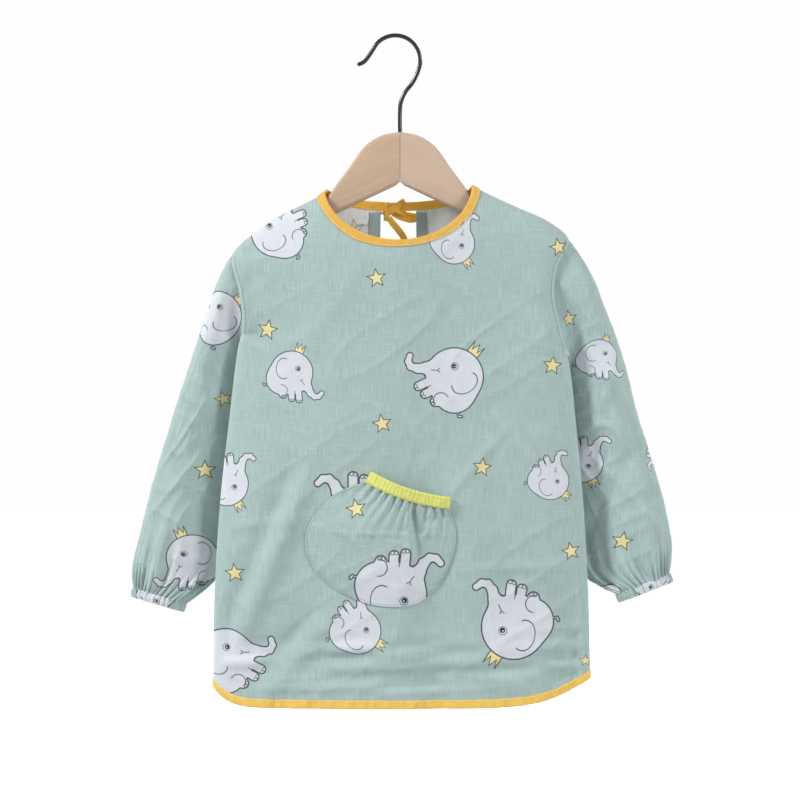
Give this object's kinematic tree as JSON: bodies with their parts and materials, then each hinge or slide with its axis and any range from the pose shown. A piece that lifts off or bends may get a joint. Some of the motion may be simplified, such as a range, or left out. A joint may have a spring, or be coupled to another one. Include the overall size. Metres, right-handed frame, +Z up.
{
  "type": "child's art smock on hanger",
  "caption": "Long-sleeved toddler art smock, tied at the open back, with bound edges and a gathered patch pocket, on a small wooden hanger with a swivel hook.",
  "frame": {"origin": "rail seat: inside of the hook's crook, on the axis of its shank, where the hook rests on a rail", "axes": "+Z up, -Y out of the front of the smock, +X to the right of someone who looks at its front"},
  "size_m": [0.4881, 0.0622, 0.6062],
  "materials": {
    "black_wire": "thin smooth black lacquer on steel wire, satin gloss",
    "beech_left": "plain sanded beech, fine flecked grain, unvarnished",
    "beech_right": "plain sanded beech, a slightly paler board",
    "mint_cotton": "plain-weave cotton, sage green, printed with small animals and stars",
    "yellow_binding": "folded cotton bias binding, warm yellow, edge-stitched",
    "lime_binding": "folded cotton binding, lime yellow, gathered on elastic",
    "white_elastic": "flat braided elastic, off-white"
  },
  "bodies": {
    "hook": {"hook_wire": "black_wire", "hook_rivet_head": "black_wire"},
    "smock": {"hanger_arm_left": "beech_left", "hanger_arm_right": "beech_right", "front_panel": "mint_cotton", "neck_binding_front": "yellow_binding", "hem_binding_front": "yellow_binding", "back_panel_left": "mint_cotton", "back_facing_left": "mint_cotton", "neck_binding_back_left": "yellow_binding", "hem_binding_back_left": "yellow_binding", "tie_tail_left": "yellow_binding", "back_panel_right": "mint_cotton", "back_facing_right": "mint_cotton", "neck_binding_back_right": "yellow_binding", "hem_binding_back_right": "yellow_binding", "tie_tail_right": "yellow_binding", "tie_knot": "yellow_binding", "tie_loop": "yellow_binding", "pocket": "mint_cotton", "pocket_binding": "lime_binding", "pocket_elastic": "white_elastic"},
    "sleeve_left": {"sleeve_left": "mint_cotton", "cuff_left": "mint_cotton", "cuff_elastic_left": "white_elastic"},
    "sleeve_right": {"sleeve_right": "mint_cotton", "cuff_right": "mint_cotton", "cuff_elastic_right": "white_elastic"}
  },
  "joints": [
    {"name": "hook_swivel", "type": "hinge", "parent": "hook", "child": "smock", "pos_m": [0, 0, -0.1], "axis": [0, 0, 1], "continuous": true},
    {"name": "sleeve_left_raise", "type": "hinge", "parent": "smock", "child": "sleeve_left", "pos_m": [-0.15, 0, -0.192], "axis": [0, 1, 0], "range_deg": [0, 70]},
    {"name": "sleeve_right_raise", "type": "hinge", "parent": "smock", "child": "sleeve_right", "pos_m": [0.151, 0, -0.178], "axis": [0, -1, 0], "range_deg": [0, 70]}
  ]
}
